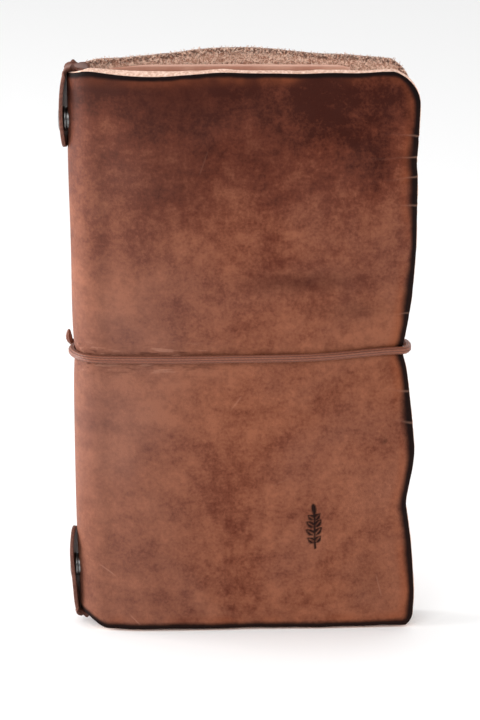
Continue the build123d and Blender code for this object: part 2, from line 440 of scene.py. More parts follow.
def sheetShell(name, outer, depth, side, materials, marks, profile, closedStart=True, lean=None):
    # A leather panel with rounded cut edges. outer is a grid of points (columns, rows) whose first column
    # is left plain where another panel meets it; depth is how far the other face lies under it.
    columns, rows = outer.shape[:2]
    normal = gridNormals(outer) * -side
    if closedStart:
        normal[0, :, 1] = 0
        normal = unit(normal)
    lift = np.zeros(outer.shape)
    if lean is not None:
        lift[..., 2] = lean
    inner = outer - normal * depth[..., None] + lift
    loop = [(c, rows - 1) for c in range(columns)]
    loop += [(columns - 1, r) for r in range(rows - 2, -1, -1)]
    loop += [(c, 0) for c in range(columns - 2, -1, -1)]
    if not closedStart:
        loop += [(0, r) for r in range(1, rows - 1)]
    at = np.array(loop)
    ring = outer[at[:, 0], at[:, 1]]
    ringNormal = normal[at[:, 0], at[:, 1]]
    ringDepth = depth[at[:, 0], at[:, 1]]
    if closedStart:
        along = np.gradient(ring, axis=0)
    else:
        along = np.roll(ring, -1, axis=0) - np.roll(ring, 1, axis=0)
    outward = unit(np.cross(along, ringNormal)) * side
    radius = profile["round"]
    points = [outer.reshape(-1, 3), inner.reshape(-1, 3)]
    kinds = []
    for out, down, share, kind in profile["steps"]:
        wobble = profile["rough"] * ripple(np.arange(len(ring)) * 1.3, share * 40, 5, 9) * (kind == 1)
        level = radius * down + (ringDepth - 2 * radius) * share
        level = np.where(down < 0, ringDepth + radius * down, level)
        across = level / ringDepth
        points.append(ring + outward * (radius * out + wobble)[:, None] - ringNormal * level[:, None]
                      + lift[at[:, 0], at[:, 1]] * across[:, None])
        kinds.append(kind)
    total = columns * rows
    faces = gridFaces(0, columns, rows, side > 0) + gridFaces(total, columns, rows, side < 0)
    ids = [0] * ((columns - 1) * (rows - 1)) + [2] * ((columns - 1) * (rows - 1))
    flat = at[:, 0] * rows + at[:, 1]
    count = len(loop)
    rings = [flat] + [2 * total + k * count + np.arange(count) for k in range(len(kinds))] + [flat + total]
    kinds = [kinds[0]] + kinds
    last = count - 1 if closedStart else count
    for k in range(len(rings) - 1):
        for i in range(last):
            j = (i + 1) % count
            quad = [int(rings[k][i]), int(rings[k][j]), int(rings[k + 1][j]), int(rings[k + 1][i])]
            faces.append(quad if side < 0 else quad[::-1])
            ids.append(max(kinds[k], kinds[min(k + 1, len(kinds) - 1)] if k else 0))
    if closedStart:
        # the plain end, where the other half of the hide goes on
        chain = [int(ringRow[0]) for ringRow in rings]
        tail = [int(ringRow[-1]) for ringRow in rings]
        for r in range(rows - 1):
            quad = [r, r + 1, total + r + 1, total + r]
            faces.append(quad if side < 0 else quad[::-1])
            ids.append(1)
        faces.append(chain if side < 0 else chain[::-1])
        faces.append(tail[::-1] if side < 0 else tail)
        ids += [1, 1]
    stacked = np.concatenate(points)
    spread = {}
    for key, values in marks.items():
        ringValues = values[at[:, 0], at[:, 1]]
        layers = [values.reshape(-1), values.reshape(-1)] + [ringValues] * (len(rings) - 2)
        spread[key] = np.concatenate(layers)
    piece = newPiece(name, stacked, faces, materials, spread, ids)
    if closedStart:
        # the two halves share one smooth surface across the spine
        mesh = piece.data
        normals = np.array([v.vector for v in mesh.vertex_normals])
        normals[:rows] = normal[0]
        normals[total:total + rows] = -normal[0]
        mesh.normals_split_custom_set_from_vertices(normals.tolist())
    return piece


# the hide

hideSizes = {
    "leather": 3.5, "rim": 0.75, "step": 1.35, "fine": 0.42, "topCorner": 13.0, "lowCorner": 5.5,
    "spineLift": 4.9,
}
# how far each fore edge stands from its straight line, by height
foreLine = {
    -1: [(0, -0.8), (13, 0.0), (22, -0.4), (34, -1.2), (44, -2.4), (51, -3.4), (57, -2.3), (64, -0.8),
         (71, 0.1), (84, -0.9), (95, -2.0), (102, -2.8), (109, -4.6), (114, -3.6), (120, -2.5), (131, -1.0),
         (151, 0.4), (179, 0.8), (184, 0.3), (190, 0.9), (208, 1.8), (220, 1.3)],
    1: [(0, -1.8), (30, -2.6), (50, -4.4), (70, -2.2), (98, -2.6), (109, -4.5), (117, -2.8), (150, -1.8),
        (190, -1.2), (222, -1.2)],
}
# how far each top edge stands over the hide's height, by distance from the fold
crestLine = {
    -1: [(-12, -2.0), (-10, -0.6), (-7.5, 1.3), (-3, 1.1), (4, 0.0), (12, -0.6), (27, -0.8), (35, 0.0),
         (49, 0.6), (58, 0.5), (68, 0.0), (80, -0.3), (94, -0.5), (104, -0.9), (117, -0.6)],
    1: [(-12, -2.1), (-6, -0.8), (-3, 0.2), (12, 0.2), (20, 0.7), (27, 1.4), (35, 2.3), (43, 3.1), (52, 3.4),
        (66, 3.5), (74, 3.0), (82, 2.4), (90, 1.6), (104, 1.0), (112, 0.3)],
}
# how much higher the front cover's inner face stands than its outer face, where the head is cut at a slant
leanLine = [(-12, 0.2), (-4, 0.9), (4, 1.6), (12, 2.2), (24, 1.9), (36, 0.9), (60, 0.6), (80, 0.8),
            (100, 0.5), (117, 0.3)]
stampSpot = (79.0, 40.5)
pockSpot = (105.5, 75.4)
# dark smears on the front: across, how wide, up, how high, strength
smears = [(74, 20, 139, 4, 0.8), (58, 14, 190, 10, 0.35), (95, 12, 127, 4, 0.5), (32, 26, 212, 9, 0.8),
          (30, 20, 185, 22, 0.35), (100, 7, 20, 9, 0.3)]
creases = [  # height, start of the crease from the fore edge, slope, depth
    (193.7, 17, 0.10, 0.38), (185.4, 26, 0.02, 0.48), (178.0, 20, -0.06, 0.40), (166.9, 14, 0.12, 0.26),
    (93.1, 15, 0.16, 0.30), (81.6, 12, 0.10, 0.26), (124.0, 10, -0.2, 0.2),
]


def foreEdge(side, z):
    line = coverLength + softLine(foreLine[side], z, 2.5)
    top = topEdge(side, coverLength - 8)
    r = hideSizes["topCorner"]
    over = np.clip(z - (top - r), 0, r)
    line = line - (r - np.sqrt(np.maximum(r * r - over * over, 0)))
    r = hideSizes["lowCorner"]
    over = np.clip(r - z, 0, r)
    return line - (r - np.sqrt(np.maximum(r * r - over * over, 0)))


def topEdge(side, x):
    return hideTop + softLine(crestLine[side], x, 4) + 0.1 * ripple(x, 0 * x, 11 + side, 24)


def crossLean(x):
    return softLine(leanLine, x, 4)


def lowEdge(side, x):
    lift = hideSizes["spineLift"] * smooth((-0.5 - x) / 12)
    return lift + 0.12 * (ripple(x, 0 * x, 15 + side, 20) + 1.5) + 0.3


def waist(z):
    # how far the elastic draws the folded spine in
    return 0.5 * bump(z, bandZ, 9) + 0.55 * bump(z, bandZ, 2.4)


def spineReach(z):
    # the folded spine is a little fuller at its top than at its foot
    return spineR + 0.45 * smooth((z - 120) / 100) - 0.9 * (1 - smooth(z / 50)) - waist(z)


def halfDepth(side, x, z):
    # how far the outer face stands from the middle of the closed cover, for x from the fold to the fore edge
    u = np.maximum(x, 0) / 15
    base = spineReach(z) + 0.5 * waist(z) * smooth(x / 30)
    nearBand = bump(z, bandZ, 26)
    if side < 0:
        swell = 1.5 * (1 - 0.5 * nearBand) * u * u * np.exp(2 - 2 * u) + 0.5 * smooth(x / 40)
        drop = (1.6 + 3.0 * smooth(z / 200)) * smooth((x - 45) / 80) + 7.0 * nearBand * smooth((x - 74) / 46)
    else:
        fullness = 0.35 + 0.65 * smooth((z - 40) / 180)
        swell = 1.2 * u * u * np.exp(2 - 2 * u) + 1.7 * smooth(x / 50) * fullness
        drop = (2.6 + 2.4 * smooth(z / 200)) * smooth((x - 40) / 85) + 4.6 * nearBand * smooth((x - 74) / 46)
    sag = 0.26 * ripple(x, z, 31 + side, 62) * smooth(x / 12)
    return base + swell - drop + sag


def creaseMarks(x, z, edge):
    # folds that run in from the fore edge: their depth, and a pale line along each, a painted highlight on
    # the fold
    depth = 0 * x
    line = 0 * x
    for k, (height, reach, slope, deep) in enumerate(creases):
        inward = edge - x
        waver = 0.35 * np.sin(inward * 0.25 + k) + 0.12 * np.sin(inward * 0.8 + 2 * k)
        centre = height + slope * inward + waver
        fade = smooth((reach - inward) / reach)
        depth = depth + deep * fade * (bump(z, centre, 0.8) - 0.6 * bump(z, centre + 1.5, 1.0))
        foldHighlight = (0.15 + 0.85 * (1 - smooth(inward / 7))) * fade * (0.5 + deep)
        line = np.maximum(line, foldHighlight * bump(z, centre + 0.75, 0.3))
    return depth, line


def sprig(x, z):
    # a leaf sprig pressed into the hide: 1 inside its lines
    turn = math.radians(8)
    u = (x - stampSpot[0]) * math.cos(turn) + (z - stampSpot[1]) * math.sin(turn)
    v = (z - stampSpot[1]) * math.cos(turn) - (x - stampSpot[0]) * math.sin(turn)
    bend = 0.9 * np.sin(v * 0.16)
    stem = np.abs(u - bend) - 0.42
    best = np.where(np.abs(v) < 7.6, stem, 9.0)
    leaves = [(-5.2, 3.6), (-2.2, 4.3), (1.0, 4.1), (4.0, 3.3)]
    for height, length in leaves:
        for hand in (-1, 1):
            lean = math.radians(42)
            root = 0.9 * math.sin(height * 0.16)
            a = hand * (u - root)
            along = a * math.cos(lean) + (v - height) * math.sin(lean)
            beside = -a * math.sin(lean) + (v - height) * math.cos(lean)
            share = along / length
            half = 1.25 * np.sin(np.clip(share, 0, 1) ** 0.8 * math.pi)
            inside = np.maximum(np.abs(beside) - half, np.maximum(-along, along - length))
            vein = np.maximum(np.abs(beside) - 0.2, np.abs(share - 0.4) * length - length * 0.36)
            best = np.minimum(best, np.maximum(inside, -vein + 0.0))
    tip = np.hypot((u - 0.85) / 0.95, (v - 8.3) / 2.1) - 1
    best = np.minimum(best, tip)
    return 1 - smooth(best / 0.5 + 0.5)


def columnsOf(side):
    sizes = hideSizes
    xs = list(np.arange(0, coverLength - 1, sizes["step"]))
    if side < 0:
        near = stampSpot[0] - 8, stampSpot[0] + 8
        xs = [x for x in xs if not near[0] < x < near[1]] + list(np.arange(near[0], near[1], sizes["fine"]))
    return np.append(np.sort(np.array(xs)), coverLength) / coverLength


def rowsOf(side):
    sizes = hideSizes
    height = hideTop
    zs = list(np.arange(6, height - 11, sizes["step"]))
    if side < 0:
        near = stampSpot[1] - 10, stampSpot[1] + 11
        zs = [z for z in zs if not near[0] < z < near[1]] + list(np.arange(near[0], near[1], sizes["fine"]))
    zs = [z for z in zs if abs(z - bandZ) > 7] + list(np.arange(bandZ - 7, bandZ + 7, 0.6))
    for crease in creases:
        near = crease[0] - 2.0, crease[0] + 2.4 + 8 * abs(crease[2])
        zs = [z for z in zs if not near[0] < z < near[1]] + list(np.arange(near[0], near[1], 0.34))
    corner = hideSizes["topCorner"]
    zs += [height - corner + corner * math.sin(math.radians(a)) for a in range(0, 91, 9)]
    corner = hideSizes["lowCorner"]
    zs += [corner - corner * math.sin(math.radians(a)) for a in range(0, 91, 12)] + [0]
    return np.unique(np.round(zs, 4)) / height


def hideHalf(side, name):
    sizes = hideSizes
    shares = columnsOf(side)
    levels = rowsOf(side)
    turns = np.radians(np.linspace(0, 90, 19))[:-1]
    inset = sizes["rim"]
    # the part over the folded spine, then the cover itself
    arcX = -spineR * np.cos(turns)
    xRow = np.concatenate([arcX, shares * coverLength])
    low = lowEdge(side, xRow) + inset
    high = topEdge(side, xRow) - inset
    z = low[:, None] + levels[None, :] * (high - low)[:, None]
    edge = foreEdge(side, z)
    x = np.concatenate([np.repeat(arcX[:, None], z.shape[1], 1),
                        shares[:, None] * (edge[len(turns):] - inset)])
    spread = halfDepth(side, np.maximum(x, 0), z)
    r = spineReach(z[:len(turns)]) + 0.12 * ripple(z[:len(turns)], 0 * z[:len(turns)], 3, 70)
    flatX = x.copy()
    flatX[:len(turns)] = -r * np.cos(turns)[:, None]
    spread[:len(turns)] = r * np.sin(turns)[:, None]
    points = np.stack([flatX, side * spread, z], -1)
    fold, pale = creaseMarks(x, z, edge)
    if side > 0:
        fold, pale = fold * 0.5, pale * 0.5
    # fine folds beside the elastic near the spine, and the groove it presses
    near = bump(x, 34, 26) * bump(z, bandZ + 3, 7)
    wrinkle = 0.13 * near * ripple(x * 0.35, z, 45, 3.4, 7)
    press = 0.45 * bump(z, bandZ, 1.7) * (smooth((x - 80) / 30) + 0.25)
    stamp = sprig(x, z) if side < 0 else 0 * x
    pock = bump(np.hypot(x - pockSpot[0], z - pockSpot[1]), 0, 0.9) if side < 0 else 0 * x
    sink = fold + wrinkle + press * (x > 0) + 0.62 * stamp + 0.3 * pock
    normal = gridNormals(points) * -side
    normal[0, :, 1] = 0
    points = points - unit(normal) * sink[..., None]
    toRim = np.minimum(np.minimum(high[:, None] - z, z - low[:, None]),
                       np.where(x > 20, edge - inset - x, 99))
    smudge = 0 * x
    for across, wide, up, tall, strength in smears if side < 0 else []:
        smudge = smudge + strength * bump(x, across, wide) * bump(z, up, tall)
    # how wide the burnished edge is: broad down the fore edge, narrow along the head
    parts = [(np.where(x > 20, edge - inset - x, 99), 2.3 + 0.5 * ripple(z, 0 * z, 61 + side, 34)),
             (high[:, None] - z, 1.15 + 0.2 * ripple(x, 0 * x, 63, 30)), (z - low[:, None], 1.75 + 0 * x)]
    weights = [np.exp(-np.minimum(away, 60) / 3) for away, _ in parts]
    burnish = sum(weight * part[1] for weight, part in zip(weights, parts)) / sum(weights)
    marks = {"rim": toRim, "burnish": np.maximum(burnish, 0.9), "crease": pale, "stamp": stamp + 0.6 * pock,
             "smudge": smudge, "restX": points[..., 0], "restY": points[..., 1]}
    depth = np.full(x.shape, sizes["leather"]) + 0.10 * ripple(x, z, 51, 9)
    profile = {"round": sizes["rim"], "rough": 0.10, "steps": thickRim}
    lean = (crossLean(x) if side < 0 else 0.6 + 0 * x) * smooth((z - high[:, None] + 14) / 14)
    materials = ["grain", "cut" if side < 0 else "flesh", "flesh"]
    return sheetShell(name, points, depth, side, materials, marks, profile, lean=lean)


def followCover(piece):
    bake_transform(piece)


hideFront = hideHalf(-1, "hideFront")
hideBack = hideHalf(1, "hideBack")
print("hide made", len(hideFront.data.polygons), len(hideBack.data.polygons))


# smooth lines and tubes

def smoothLine(points, step):
    # evenly spaced places along the smooth spline that these control points give
    curve = bpy.data.curves.new("guide", "CURVE")
    curve.dimensions = "3D"
    curve.resolution_u = 32
    spline = curve.splines.new("NURBS")
    spline.points.add(len(points) - 1)
    for control, place in zip(spline.points, toFrame(points)):
        control.co = (*place, 1)
    spline.order_u = 3
    spline.use_endpoint_u = True
    guide = bpy.data.objects.new("guide", curve)
    bpy.context.scene.collection.objects.link(guide)
    bpy.context.view_layer.update()
    mesh = bpy.data.meshes.new_from_object(guide)
    places = (np.array([v.co for v in mesh.vertices]) - toFrame([(0, 0, 0)])[0]) / mm
    bpy.data.objects.remove(guide)
    bpy.data.curves.remove(curve)
    bpy.data.meshes.remove(mesh)
    run = distances(places)
    at = np.linspace(0, run[-1], int(run[-1] / step) + 1)
    return np.stack([np.interp(at, run, places[:, k]) for k in range(3)], -1)


def distances(line):
    return np.concatenate([[0], np.cumsum(np.linalg.norm(np.diff(line, axis=0), axis=1))])


def tube(name, line, around, section, material):
    # section gives the radius and the weave mark for an angle round the tube and a distance along it
    ahead = unit(np.gradient(line, axis=0))
    side = np.zeros_like(line)
    side[0] = unit(np.cross(ahead[0], (0.0, 0.02, 1.0)))
    for i in range(1, len(line)):
        side[i] = unit(side[i - 1] - ahead[i] * (side[i - 1] @ ahead[i]))
    up = np.cross(side, ahead)
    turn = np.linspace(0, math.tau, around, endpoint=False)[None, :]
    radius, mark = section(turn, distances(line)[:, None])
    spokes = np.cos(turn)[..., None] * side[:, None] + np.sin(turn)[..., None] * up[:, None]
    points = line[:, None] + radius[..., None] * spokes
    faces = []
    for i in range(len(line) - 1):
        for j in range(around):
            k = (j + 1) % around
            faces.append((i * around + j, (i + 1) * around + j, (i + 1) * around + k, i * around + k))
    faces.append(tuple(range(around)))
    faces.append(tuple(range(len(line) * around - 1, (len(line) - 1) * around - 1, -1)))
    return newPiece(name, points.reshape(-1, 3), faces, [material], {"weave": mark.reshape(-1)})


# the elastic, opened at the middle of the spine and half way round the fore edge
elasticSizes = {
    "thick": 3.0, "sink": 0.15, "ribs": 8, "relief": 0.17, "pitch": 1.5, "step": 0.34, "around": 48,
    "turns": (15, 45, 75),                            # degrees round the spine from its middle
    "runs": (7, 22, 40, 58, 74, 86, 96, 104),         # from the fold towards the fore edge
}


def elasticWeave(turn, along):
    place = turn * elasticSizes["ribs"] / math.tau
    crest = np.abs(np.sin(place * math.pi)) ** 0.6
    hand = np.where(np.floor(place) % 2 < 1, 1, -1)
    strand = 0.5 + 0.5 * np.sin(math.tau * (along / elasticSizes["pitch"] + hand * 0.45 * (place % 1)))
    height = crest * (0.72 + 0.28 * strand)
    return elasticSizes["thick"] / 2 * (1 - elasticSizes["relief"] * (1 - height)), height


def bandPress(x):
    # how deep the elastic presses into the hide
    return 0.45 * (smooth((x - 80) / 30) + 0.25)


def elasticRoute(side):
    lift = elasticSizes["thick"] / 2 - elasticSizes["sink"]
    reach = float(spineReach(bandZ)) + lift
    corner = reach / 0.966                            # the spline runs this much inside its corners
    points = [(-reach, 0, bandZ)]
    for turn in elasticSizes["turns"]:
        turn = math.radians(turn)
        points.append((-corner * math.cos(turn), side * corner * math.sin(turn), bandZ))

    def over(x):
        return float(halfDepth(side, x, bandZ) - bandPress(x) + lift)

    points += [(x, side * over(x), bandZ) for x in elasticSizes["runs"]]
    edges = [float(foreEdge(hand, bandZ)) for hand in (-1, 1)]
    faces = [hand * float(halfDepth(hand, edge, bandZ)) for hand, edge in zip((-1, 1), edges)]
    edge = edges[0] if side < 0 else edges[1]
    points.append((edge - 3.5, side * (over(edge - 3.5) + 0.1), bandZ))
    points.append((edge + 1.9, side * (over(edge) + 0.5), bandZ))
    points.append((max(edges) + 1.6, sum(faces) / 2, bandZ))
    return points


def elasticHalf(side, name):
    line = smoothLine(elasticRoute(side), elasticSizes["step"])
    return tube(name, line, elasticSizes["around"], elasticWeave, "elastic"), line


# the knot that ties the elastic, behind the spine, with one tail standing up beside it
knotSizes = {
    "turn": 127.0, "reach": 13.9, "size": 1.0, "thick": 2.5, "taper": 3.2, "around": 40, "step": 0.3,
    "lowTail": [(97, 15.2, -8.3), (103, 15.8, -4.8), (113, 14.8, -2.2)],      # degrees, reach, height
    "highTail": [(139, 14.4, -0.6), (151, 15.0, 0.8), (160, 15.3, 3.1), (163.5, 14.6, 7.0)],
}


def aroundSpine(turn, reach, height):
    turn = math.radians(turn)
    return (reach * math.cos(turn), reach * math.sin(turn), bandZ + height)


def elasticKnot():
    # an overhand knot lying against the spine: two tails and the three loops between them
    sizes = knotSizes
    middle = np.array(aroundSpine(sizes["turn"], sizes["reach"], 0))
    turn = math.radians(sizes["turn"])
    outward = np.array([math.cos(turn), math.sin(turn), 0])
    beside = np.array([-math.sin(turn), math.cos(turn), 0])
    points = [aroundSpine(*place) for place in sizes["lowTail"]]
    for t in np.linspace(0.5, math.tau - 0.5, 22):
        a = math.sin(t) + 2 * math.sin(2 * t)
        b = math.cos(t) - 2 * math.cos(2 * t)
        c = -math.sin(3 * t)
        points.append(middle + sizes["size"] * (a * beside + np.array([0, 0, b]) + 1.1 * c * outward))
    points += [aroundSpine(*place) for place in sizes["highTail"]]
    line = smoothLine(points, sizes["step"])
    whole = distances(line)[-1]

    def section(turn, along):
        radius, mark = elasticWeave(turn, along)
        end = np.clip(np.minimum(along, whole - along) / sizes["taper"], 0.0, 1.0)
        return radius * sizes["thick"] / elasticSizes["thick"] * (0.12 + 0.88 * np.sqrt(end)), mark

    return tube("elasticKnot", line, sizes["around"], section, "elastic")


elasticFront, frontLine = elasticHalf(-1, "elasticFront")
elasticBack, backLine = elasticHalf(1, "elasticBack")
knot = elasticKnot()
print("elastic made", round(distances(frontLine)[-1], 1), round(distances(backLine)[-1], 1))

# the retaining strap, in two halves that meet in the middle of the spine
strapSizes = {
    "width": 14.0, "thick": 1.4, "round": 0.32, "step": 0.8, "cup": 0.7, "tilt": 0.13, "inside": -4.86,
    "neck": 0.48,                                     # how much narrower it is where it turns over the edge
    "turnOver": {1: 31.5, -1: 36},                    # from the tab's tip to where it turns over
    "bendFrom": 7.0, "bendTo": {"top_tab": 12.2, "bottom_tab": 11.6},
    # across from the fold and up, along the strap's middle
    "top": [(-4.86, 150), (-4.86, 190), (-4.86, 208), (-4.86, 216.4), (-5.4, 219.9), (-10.0, 219.9),
            (-13.1, 219.8), (-13.9, 216.4), (-14.6, 211), (-14.95, 204), (-14.7, 197.5), (-13.75, 189.8)],
    "bottom": [(-4.86, 70), (-4.86, 30), (-4.86, 14), (-4.86, 7.6), (-5.5, 4.3), (-9.4, 4.1),
               (-12.2, 4.3), (-12.65, 8.2), (-13.1, 15), (-13.7, 23), (-14.3, 31), (-13.4, 38.0)],
}
strapJoin = (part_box("strap_inner_run")[0].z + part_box("strap_inner_run")[1].z) / 2 / mm


def strapHalf(name, route, hand):
    # hand is 1 for the upper half and -1 for the lower, which runs down
    sizes = strapSizes
    points = [(sizes["inside"], 0, strapJoin)] + [(x, 0, z) for x, z in route]
    line = smoothLine(points, 0.25)
    run = distances(line)
    half = sizes["width"] / 2 - sizes["round"]
    turns = np.radians(np.linspace(-90, 90, 25))
    across = -hand * half * np.sin(turns)
    ends = run[-1] - half + half * np.cos(turns)
    shares = np.linspace(0, 1, int(run[-1] / sizes["step"]))
    along = shares[:, None] * ends[None, :]
    x = np.interp(along, run, line[:, 0])
    z = np.interp(along, run, line[:, 2])
    # the tab cups a little round the spine
    fold = run[-1] - sizes["turnOver"][hand]
    tab = smooth((along - fold) / 8)
    x = x + tab * (sizes["cup"] * (across[None, :] / 7) ** 2 + sizes["tilt"] * across[None, :])
    neck = 1 - sizes["neck"] * bump(along, fold - 0.5, 6.5)
    low = across[None, :] * neck
    outer = np.stack([x, low, z], -1)
    ahead = unit(np.gradient(outer, axis=0))
    outward = unit(np.cross(ahead, (0, -hand, 0)))
    outer = outer + outward * sizes["thick"] / 2
    toSide = sizes["round"] + half - np.abs(across)[None, :] + 0 * along
    toEnd = ends[None, :] - along
    marks = {"rim": np.minimum(toSide, toEnd + 0.3)}
    profile = {"round": sizes["round"], "rough": 0.015, "steps": thinRim}
    depth = np.full(along.shape, sizes["thick"])
    return sheetShell(name, outer, depth, -1, ["strap", "strapEdge", "strap"], marks, profile)


def bendStrap(piece):
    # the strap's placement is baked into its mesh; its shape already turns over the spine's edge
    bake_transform(piece)


strapTop = strapHalf("strapTop", strapSizes["top"], 1)
strapBottom = strapHalf("strapBottom", strapSizes["bottom"], -1)
print("strap made")

# the snap fasteners: distances towards the fore edge and radii, turned about the snap's own axis
snapSizes = {
    "cap": [(-0.82, 0), (-0.81, 1.2), (-0.75, 2.5), (-0.6, 3.7), (-0.38, 4.5), (-0.12, 4.92), (0.12, 5.0),
            (0.36, 4.85), (0.5, 4.5), (0.5, 0)],
    "socket": [(-0.2, 0), (-0.2, 4.2), (0.0, 4.5), (0.35, 4.6), (0.8, 4.55), (1.1, 4.3), (1.22, 3.95),
               (1.16, 3.55), (0.9, 3.25), (0.72, 2.9), (0.74, 2.55), (0.6, 2.32), (0.2, 2.25), (0.1, 2.2),
               (0.1, 0)],
    "stud": [(-1.62, 0), (-1.6, 0.9), (-1.5, 1.5), (-1.3, 1.95), (-1.05, 2.12), (-0.85, 2.0), (-0.7, 1.7),
             (-0.56, 1.62), (-0.48, 1.9), (-0.46, 3.3), (-0.4, 3.85), (-0.22, 4.15), (0.0, 4.2), (0.95, 4.2),
             (0.95, 0)],
    "post": [(-0.35, 0), (-0.35, 3.6), (0.1, 3.8), (0.35, 3.72), (0.5, 3.3), (0.56, 1.6), (0.56, 0)],
    "around": 56, "level": 0.35,
}


def turned(name, outline, x, z, material):
    around = snapSizes["around"]
    turn = np.linspace(0, math.tau, around, endpoint=False)
    rings = outline[1:-1]
    points = [(x + outline[0][0], 0, z)]
    for out, radius in rings:
        points += [(x + out, radius * math.cos(a), z + radius * math.sin(a)) for a in turn]
    points.append((x + outline[-1][0], 0, z))
    last = len(points) - 1
    faces = []
    for j in range(around):
        k = (j + 1) % around
        faces.append((0, 1 + k, 1 + j))
        for i in range(len(rings) - 1):
            a = 1 + i * around
            faces.append((a + j, a + k, a + around + k, a + around + j))
        faces.append((last, last - around + j, last - around + k))
    piece = newPiece(name, points, faces, [material])
    piece.data.set_sharp_from_angle(angle=math.radians(50))
    return piece


def strapAt(route, z):
    # where the middle of a tab lies at a height
    line = smoothLine([(x, 0, h) for x, h in route], 0.2)
    tab = line[line[:, 0] < -12.6]
    return tab[np.argmin(np.abs(tab[:, 2] - z)), 0]


def addSnap(where, route):
    low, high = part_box(where + "_snap_stud")
    z = (low.z + high.z) / 2 / mm
    tab = strapAt(route, z)
    spine = -float(spineReach(z))
    half = strapSizes["thick"] / 2
    pieces = {
        "cap": turned(where + "SnapCap", snapSizes["cap"], tab - half, z, "metal"),
        "socket": turned(where + "SnapSocket", snapSizes["socket"], tab + half, z, "metal"),
        "stud": turned(where + "SnapStud", snapSizes["stud"], spine, z, "metal"),
        "post": turned(where + "SnapPost", snapSizes["post"], spine + hideSizes["leather"], z, "metal"),
    }
    for kind, piece in pieces.items():
        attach(piece, where + "_tab" if kind in ("cap", "socket") else "spine")
        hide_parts(where + "_snap_" + kind)


addSnap("top", strapSizes["top"])
addSnap("bottom", strapSizes["bottom"])
print("snaps made")

# the pocket inside the back cover
pocketSizes = {
    "start": 3.0, "end": 93.0, "low": 12.0, "high": 218.2, "thick": 1.3, "gap": 0.22, "bow": 0.9,
    "round": 0.3, "step": 1.6, "seam": 3.0,
}


def pocketFace(x, z):
    # the face of the pocket that looks at the front cover
    sizes = pocketSizes
    span = (x - sizes["start"]) / (sizes["end"] - sizes["start"])
    mouth = smooth((z - sizes["high"] + 26) / 26) * np.sin(np.clip(span, 0, 1) * math.pi)
    lift = hideSizes["leather"] + sizes["gap"] + sizes["thick"] + sizes["bow"] * mouth
    return halfDepth(1, x, z) - lift


def pocketPanel():
    sizes = pocketSizes
    inset = sizes["round"]
    xs = np.linspace(sizes["start"] + inset, sizes["end"] - inset, int(90 / sizes["step"]))
    zs = np.linspace(sizes["low"] + inset, sizes["high"] - inset, int(206 / sizes["step"]))
    x, z = np.meshgrid(xs, zs, indexing="ij")
    # the mouth dips a little at its ends
    share = smooth((x - xs[0]) / 16) * smooth((xs[-1] - x) / 5)
    z = z - 0.9 * (1 - share) * smooth((z - sizes["high"] + 40) / 40)
    outer = np.stack([x, pocketFace(x, z), z], -1)
    rim = np.minimum(np.minimum(x - xs[0], xs[-1] - x), np.minimum(zs[-1] - z, z - zs[0])) + inset
    profile = {"round": inset, "rough": 0.02, "steps": thinRim}
    depth = np.full(x.shape, sizes["thick"])
    return sheetShell("pocketPanel", outer, depth, -1, ["pocket", "pocket", "flesh"], {"rim": rim}, profile,
                      closedStart=False)


pocketPiece = pocketPanel()
print("pocket made")


# geometry node trees

class Plan:
    def __init__(self, name, inputs):
        self.tree = bpy.data.node_groups.new(name, "GeometryNodeTree")
        self.tree.interface.new_socket("Geometry", in_out="INPUT", socket_type="NodeSocketGeometry")
        self.tree.interface.new_socket("Geometry", in_out="OUTPUT", socket_type="NodeSocketGeometry")
        for label, value in inputs.items():
            kind = "NodeSocketInt" if isinstance(value, int) else "NodeSocketFloat"
            self.tree.interface.new_socket(label, in_out="INPUT", socket_type=kind).default_value = value
        self.given = self.tree.nodes.new("NodeGroupInput").outputs
        self.end = self.tree.nodes.new("NodeGroupOutput")

    def node(self, kind, settings, sockets, out=0):
        made = self.tree.nodes.new(kind)
        for key, value in settings.items():
            setattr(made, key, value)
        for key, value in sockets.items():
            if isinstance(value, bpy.types.NodeSocket):
                self.tree.links.new(value, made.inputs[key])
            else:
                made.inputs[key].default_value = value
        return made.outputs[out]

    def maths(self, operation, a, b):
        return self.node("ShaderNodeMath", {"operation": operation}, {0: a, 1: b})

    def chance(self, low, high, seed):
        # a random number for each point
        made = self.node("FunctionNodeRandomValue", {"data_type": "FLOAT"}, {}, 1)
        made.node.inputs[2].default_value = low
        made.node.inputs[3].default_value = high
        made.node.inputs["Seed"].default_value = seed
        return made

    def chanceVector(self, low, high, seed):
        made = self.node("FunctionNodeRandomValue", {"data_type": "FLOAT_VECTOR"}, {0: low, 1: high})
        made.node.inputs["Seed"].default_value = seed
        return made

    def grow(self, name, base, values):
        # run the tree on a base mesh and keep what it makes as a plain mesh
        modifier = base.modifiers.new("plan", "NODES")
        modifier.node_group = self.tree
        for item in self.tree.interface.items_tree:
            if item.in_out == "INPUT" and item.name in values:
                modifier[item.identifier] = values[item.name]
        bpy.context.view_layer.update()
        made = bpy.data.meshes.new_from_object(base.evaluated_get(bpy.context.evaluated_depsgraph_get()))
        base.modifiers.remove(modifier)
        piece = bpy.data.objects.new(name, made)
        made.name = name
        bpy.context.scene.collection.objects.link(piece)
        return piece


